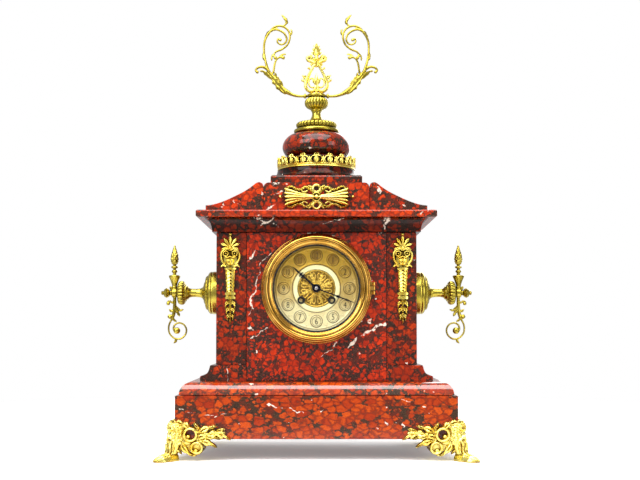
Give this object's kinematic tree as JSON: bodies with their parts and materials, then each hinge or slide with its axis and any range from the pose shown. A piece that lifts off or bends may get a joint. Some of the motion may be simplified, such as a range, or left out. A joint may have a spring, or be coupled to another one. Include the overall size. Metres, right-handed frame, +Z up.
{
  "type": "mantel clock",
  "caption": "Red marble mantel clock with gilt bronze mounts, side sconces, scrolled finial, hinged glazed bezel, hands, rear door, movement, pendulum and bell.",
  "frame": {"origin": "on the floor, under the middle of the clock", "axes": "+Z up, the dial faces -Y, +X to the right as seen from the front"},
  "size_m": [0.4218, 0.2612, 0.5963],
  "materials": {
    "red_marble": "polished",
    "gilt_bronze": "burnished gilt",
    "movement_brass": "satin",
    "bell_metal": "polished",
    "steel": "satin",
    "blued_steel": "blued",
    "cream_enamel": "glossy",
    "glass": "clear"
  },
  "bodies": {
    "case": {"arm_left": "gilt_bronze", "arm_right": "gilt_bronze", "back_panel": "red_marble", "back_plate": "movement_brass", "back_ring": "gilt_bronze", "base_block_left": "red_marble", "base_block_right": "red_marble", "bell": "bell_metal", "case_ring": "gilt_bronze", "cornice_cove": "red_marble", "cornice_slab": "red_marble", "cushion": "red_marble", "dial_plate": "gilt_bronze", "dial_rosette": "gilt_bronze", "drum": "red_marble", "enamel_ring": "cream_enamel", "finial": "gilt_bronze", "foot_back_left": "gilt_bronze", "foot_back_right": "gilt_bronze", "foot_front_left": "gilt_bronze", "foot_front_right": "gilt_bronze", "front_panel": "red_marble", "front_plate": "movement_brass", "gallery": "gilt_bronze", "pediment_block": "red_marble", "pediment_mount": "gilt_bronze", "pediment_scroll_left": "red_marble", "pediment_scroll_right": "red_marble", "pilaster_mount_left": "gilt_bronze", "pilaster_mount_right": "gilt_bronze", "plinth": "red_marble", "plinth_ledge": "red_marble", "sconce_branch_left": "gilt_bronze", "sconce_branch_right": "gilt_bronze", "sconce_knob_left": "gilt_bronze", "sconce_knob_right": "gilt_bronze", "sconce_stem_left": "gilt_bronze", "sconce_stem_right": "gilt_bronze", "side_wall_left": "red_marble", "side_wall_right": "red_marble", "tie_rod": "steel", "top_slab": "red_marble", "vase": "gilt_bronze", "vase_foot": "gilt_bronze"},
    "bezel": {"bezel": "gilt_bronze", "bezel_glass": "glass"},
    "back_door": {"back_door": "gilt_bronze"},
    "minute": {"minute_hand": "blued_steel"},
    "hour": {"hour_hand": "blued_steel", "hour_wheel": "movement_brass"},
    "minute_wheel": {"minute_wheel": "movement_brass"},
    "escape_wheel": {"escape_wheel": "movement_brass"},
    "third_wheel": {"third_wheel": "movement_brass"},
    "centre_wheel": {"centre_wheel": "movement_brass"},
    "going_barrel": {"going_barrel": "movement_brass"},
    "strike_barrel": {"strike_barrel": "movement_brass"},
    "strike_wheel": {"strike_wheel": "movement_brass"},
    "pendulum": {"pendulum": "movement_brass"},
    "anchor": {"anchor": "steel"},
    "hammer": {"hammer": "steel"}
  },
  "joints": [
    {"name": "bezel_hinge", "type": "hinge", "parent": "case", "child": "bezel", "pos_m": [0.0738, -0.0762, 0.2165], "axis": [0, 0, 1], "range_deg": [0, 110]},
    {"name": "back_door_hinge", "type": "hinge", "parent": "case", "child": "back_door", "pos_m": [-0.0682, 0.0739, 0.2165], "axis": [0, 0, 1], "range_deg": [0, 110]},
    {"name": "minute_turn", "type": "hinge", "parent": "case", "child": "minute", "pos_m": [0, 0, 0.2165], "axis": [0, 1, 0], "continuous": true},
    {"name": "hour_turn", "type": "hinge", "parent": "case", "child": "hour", "pos_m": [0, 0, 0.2165], "axis": [0, 1, 0], "continuous": true},
    {"name": "minute_wheel_turn", "type": "hinge", "parent": "case", "child": "minute_wheel", "pos_m": [0, 0, 0.2065], "axis": [0, 1, 0], "continuous": true},
    {"name": "escape_turn", "type": "hinge", "parent": "case", "child": "escape_wheel", "pos_m": [0, 0, 0.2425], "axis": [0, 1, 0], "continuous": true},
    {"name": "third_turn", "type": "hinge", "parent": "case", "child": "third_wheel", "pos_m": [0.005, 0, 0.2317], "axis": [0, 1, 0], "continuous": true},
    {"name": "centre_turn", "type": "hinge", "parent": "case", "child": "centre_wheel", "pos_m": [0, 0, 0.2165], "axis": [0, 1, 0], "continuous": true},
    {"name": "going_barrel_turn", "type": "hinge", "parent": "case", "child": "going_barrel", "pos_m": [0.0197, 0, 0.2012], "axis": [0, 1, 0], "continuous": true},
    {"name": "strike_barrel_turn", "type": "hinge", "parent": "case", "child": "strike_barrel", "pos_m": [-0.0197, 0, 0.2012], "axis": [0, 1, 0], "continuous": true},
    {"name": "strike_wheel_turn", "type": "hinge", "parent": "case", "child": "strike_wheel", "pos_m": [-0.02187, 0, 0.22604], "axis": [0, 1, 0], "continuous": true},
    {"name": "pendulum_swing", "type": "hinge", "parent": "case", "child": "pendulum", "pos_m": [0, -0.014, 0.255], "axis": [0, 1, 0], "range_deg": [-4, 4]},
    {"name": "anchor_rock", "type": "hinge", "parent": "case", "child": "anchor", "pos_m": [0, -0.045, 0.2535], "axis": [0, 1, 0], "range_deg": [-4, 4]},
    {"name": "hammer_lift", "type": "hinge", "parent": "case", "child": "hammer", "pos_m": [-0.033, -0.018, 0.2265], "axis": [0, 1, 0], "range_deg": [0, 14], "stiffness_Nm_per_rad": 0.05}
  ],
  "couplings": [
    {"joint": "hour_turn", "follows": "minute_turn", "ratio": 0.083333},
    {"joint": "minute_wheel_turn", "follows": "minute_turn", "ratio": -0.33333},
    {"joint": "third_turn", "follows": "escape_turn", "ratio": -0.076087},
    {"joint": "centre_turn", "follows": "escape_turn", "ratio": 0.0063406},
    {"joint": "going_barrel_turn", "follows": "escape_turn", "ratio": -0.0009058},
    {"joint": "strike_wheel_turn", "follows": "strike_barrel_turn", "ratio": -7},
    {"joint": "anchor_rock", "follows": "pendulum_swing", "ratio": 1}
  ]
}
